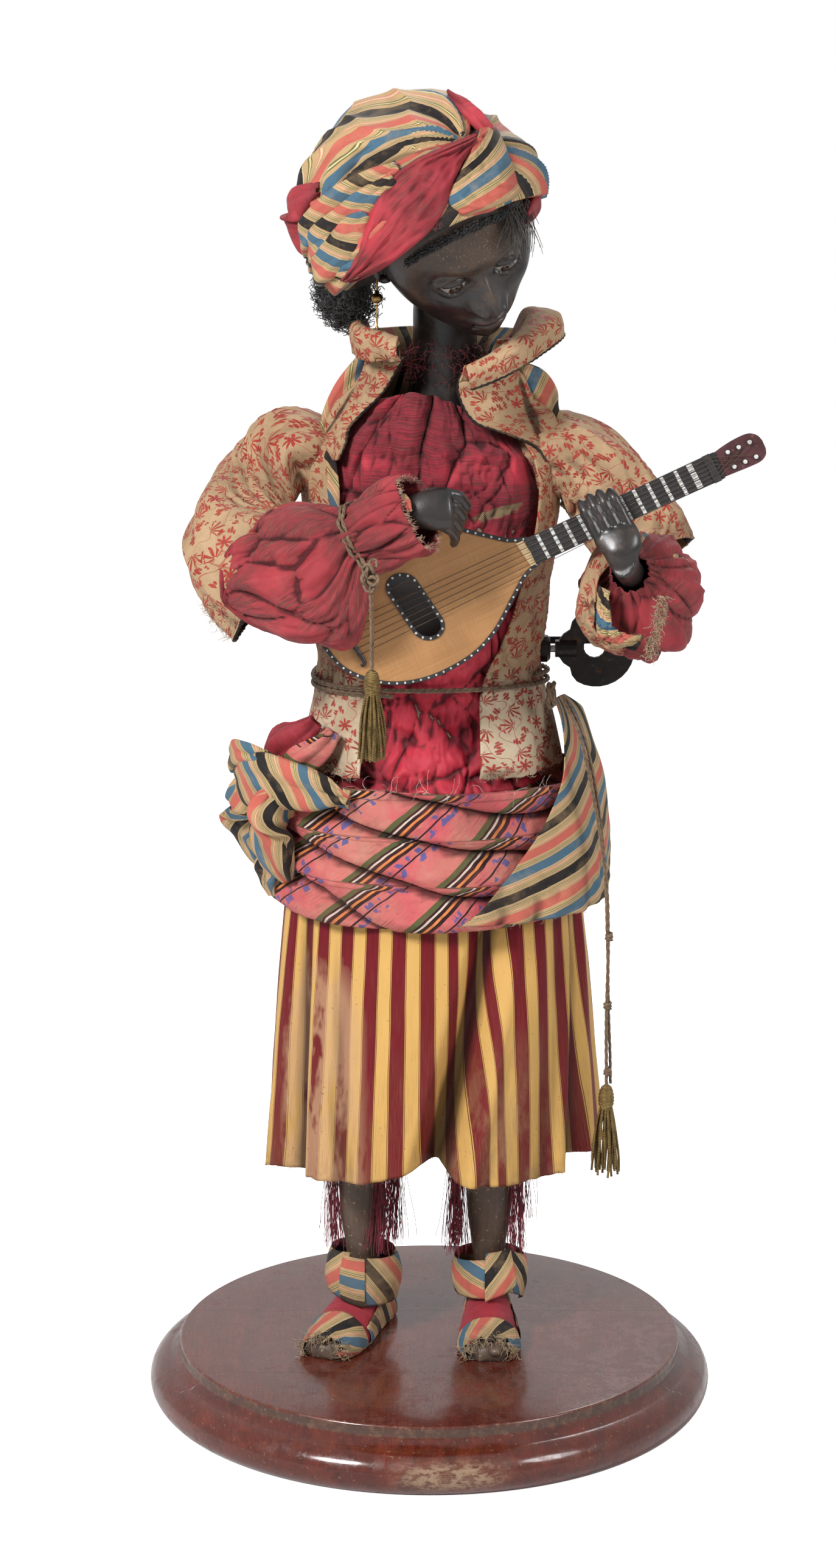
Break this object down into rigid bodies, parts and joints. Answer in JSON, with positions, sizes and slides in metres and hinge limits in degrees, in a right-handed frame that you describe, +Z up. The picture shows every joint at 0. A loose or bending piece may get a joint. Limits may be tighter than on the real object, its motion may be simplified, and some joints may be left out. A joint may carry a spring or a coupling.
{
  "type": "musical automaton",
  "caption": "Standing clockwork musician in striped silk and brocade, playing a lute on a round wooden base, with a winding key at the hip.",
  "frame": {"origin": "centre of the underside of the round wooden base", "axes": "+Z up along the figure's height, the figure faces -Y, +X is towards its left hand and the lute's neck"},
  "size_m": [0.3703, 0.3528, 0.811],
  "materials": {
    "mahogany": "french polished, worn and scuffed",
    "iron": "black, oiled",
    "brass": "clockmaker's finish",
    "gilt": "worn gilt",
    "steel": "bright steel",
    "beech": "plain",
    "painted_skin": "dark glossy paint, worn at the edges",
    "painted_leg": "brown paint, rubbed",
    "papier_mache": "bare layered paper and glue",
    "eye_glass": "dark blown glass",
    "kid_leather": "painted kid",
    "black_wool": "curled wool",
    "striped_silk": "striped silk taffeta",
    "brocade": "flowered silk brocade",
    "red_silk": "thin worn silk",
    "pink_weave": "woven cotton with stripes",
    "satin_stripe": "burgundy and straw striped satin",
    "cord": "twisted silk cord",
    "gold_thread": "tarnished metal thread",
    "spruce": "varnished",
    "lute_back": "varnished maple ribs",
    "ebonised": "ebonised and varnished",
    "gut_string": "gut"
  },
  "bodies": {
    "root": {"base_plinth": "mahogany", "foot_bolt_right": "iron", "foot_bolt_left": "iron", "leg_right": "painted_leg", "leg_left": "painted_leg", "sandal_right": "striped_silk", "sandal_left": "striped_silk", "pelvis_block": "beech", "torso_front_shell": "papier_mache", "torso_back_cover": "papier_mache", "key_collar": "iron", "movement_plate_left": "brass", "movement_plate_right": "brass", "music_comb": "steel", "neck_post": "painted_skin", "lute_bowl": "lute_back", "lute_soundboard": "spruce", "lute_neck": "ebonised", "lute_strings": "gut_string", "upper_arm_right": "beech", "upper_arm_left": "beech", "blouse": "red_silk", "jacket": "brocade", "trousers": "satin_stripe", "hip_wrap": "pink_weave", "side_drape": "striped_silk", "side_bunch": "striped_silk", "jacket_sleeve_right": "brocade", "jacket_sleeve_left": "brocade", "belt_cord": "cord", "side_cord": "cord", "side_tassel": "gold_thread"},
    "winding": {"winding_arbor": "steel", "winding_key": "iron", "ratchet_wheel": "steel"},
    "barrel": {"spring_barrel": "brass", "mainspring": "steel"},
    "second": {"second_wheel": "brass"},
    "third": {"third_wheel": "brass"},
    "fly": {"governor_fly": "brass"},
    "cams": {"camshaft": "brass"},
    "music": {"music_cylinder": "brass"},
    "click": {"click": "steel"},
    "stop": {"stop_lever": "iron"},
    "head_follower": {"head_lever": "steel"},
    "strum_follower": {"strum_lever": "steel"},
    "neck": {"neck_yoke": "brass"},
    "head": {"head_shell": "painted_skin", "eye_pair": "eye_glass", "hair_tuft": "black_wool", "turban": "striped_silk"},
    "eyelids": {"eyelid_pair": "kid_leather"},
    "lip": {"lower_lip": "painted_skin"},
    "earring": {"earring": "gilt"},
    "forearm_right": {"hand_right": "painted_skin", "under_sleeve_right": "red_silk", "wrist_cord": "cord", "wrist_tassel": "gold_thread"},
    "forearm_left": {"hand_left": "painted_skin", "under_sleeve_left": "red_silk"}
  },
  "joints": [
    {"name": "key_winding", "type": "hinge", "parent": "root", "child": "winding", "pos_m": [0, 0.012, 0.4745], "axis": [1, 0, 0], "continuous": true},
    {"name": "barrel_turn", "type": "hinge", "parent": "root", "child": "barrel", "pos_m": [0, 0.012, 0.4745], "axis": [1, 0, 0], "continuous": true},
    {"name": "second_turn", "type": "hinge", "parent": "root", "child": "second", "pos_m": [0, 0.03128, 0.49748], "axis": [1, 0, 0], "continuous": true},
    {"name": "third_turn", "type": "hinge", "parent": "root", "child": "third", "pos_m": [0, 0.02228, 0.51307], "axis": [1, 0, 0], "continuous": true},
    {"name": "fly_turn", "type": "hinge", "parent": "root", "child": "fly", "pos_m": [0, 0.03356, 0.51717], "axis": [1, 0, 0], "continuous": true},
    {"name": "cam_turn", "type": "hinge", "parent": "root", "child": "cams", "pos_m": [0, -0.006, 0.50568], "axis": [1, 0, 0], "continuous": true},
    {"name": "music_turn", "type": "hinge", "parent": "root", "child": "music", "pos_m": [0, 0.006, 0.52646], "axis": [1, 0, 0], "continuous": true},
    {"name": "click_lift", "type": "hinge", "parent": "root", "child": "click", "pos_m": [0, 0.024, 0.484], "axis": [1, 0, 0], "range_deg": [-20, 0], "stiffness_Nm_per_rad": 0.002, "springref_deg": 5.73},
    {"name": "stop_lever_swing", "type": "hinge", "parent": "root", "child": "stop", "pos_m": [0.0325, 0.0396, 0.4745], "axis": [0, 1, 0], "range_deg": [-8, 0]},
    {"name": "head_lever_rock", "type": "hinge", "parent": "root", "child": "head_follower", "pos_m": [0, 0.033, 0.529], "axis": [1, 0, 0], "range_deg": [-6, 2]},
    {"name": "strum_lever_rock", "type": "hinge", "parent": "root", "child": "strum_follower", "pos_m": [0, 0.033, 0.529], "axis": [1, 0, 0], "range_deg": [-6, 2]},
    {"name": "head_turn", "type": "hinge", "parent": "root", "child": "neck", "pos_m": [0.009, 0.012, 0.7], "axis": [0, 0, 1], "range_deg": [-30, 6]},
    {"name": "head_nod", "type": "hinge", "parent": "neck", "child": "head", "pos_m": [0.009, 0.012, 0.7], "axis": [0.9051, 0.2144, 0.3673], "range_deg": [-8, 4]},
    {"name": "eyelid_blink", "type": "hinge", "parent": "head", "child": "eyelids", "pos_m": [0.02666, -0.06375, 0.71137], "axis": [0.9051, 0.2144, 0.3673], "range_deg": [0, 40]},
    {"name": "lip_move", "type": "hinge", "parent": "head", "child": "lip", "pos_m": [0.01874, -0.02644, 0.70909], "axis": [0.9051, 0.2144, 0.3673], "range_deg": [-1, 4]},
    {"name": "earring_swing", "type": "hinge", "parent": "head", "child": "earring", "pos_m": [-0.03125, -0.03262, 0.70247], "axis": [0, 1, 0], "range_deg": [-12, 12]},
    {"name": "strum", "type": "hinge", "parent": "root", "child": "forearm_right", "pos_m": [-0.113, -0.066, 0.522], "axis": [-0.0442, -0.9945, 0.0947], "range_deg": [-6, 6]},
    {"name": "fret", "type": "hinge", "parent": "root", "child": "forearm_left", "pos_m": [0.138, -0.008, 0.506], "axis": [-0.0442, -0.9945, 0.0947], "range_deg": [-5, 5]}
  ],
  "couplings": [
    {"joint": "second_turn", "follows": "barrel_turn", "ratio": -4},
    {"joint": "third_turn", "follows": "barrel_turn", "ratio": 14},
    {"joint": "fly_turn", "follows": "barrel_turn", "ratio": -42},
    {"joint": "cam_turn", "follows": "barrel_turn", "ratio": -2},
    {"joint": "music_turn", "follows": "barrel_turn", "ratio": 2},
    {"joint": "head_lever_rock", "follows": "head_turn", "ratio": 0.15},
    {"joint": "strum_lever_rock", "follows": "strum", "ratio": 0.15}
  ]
}
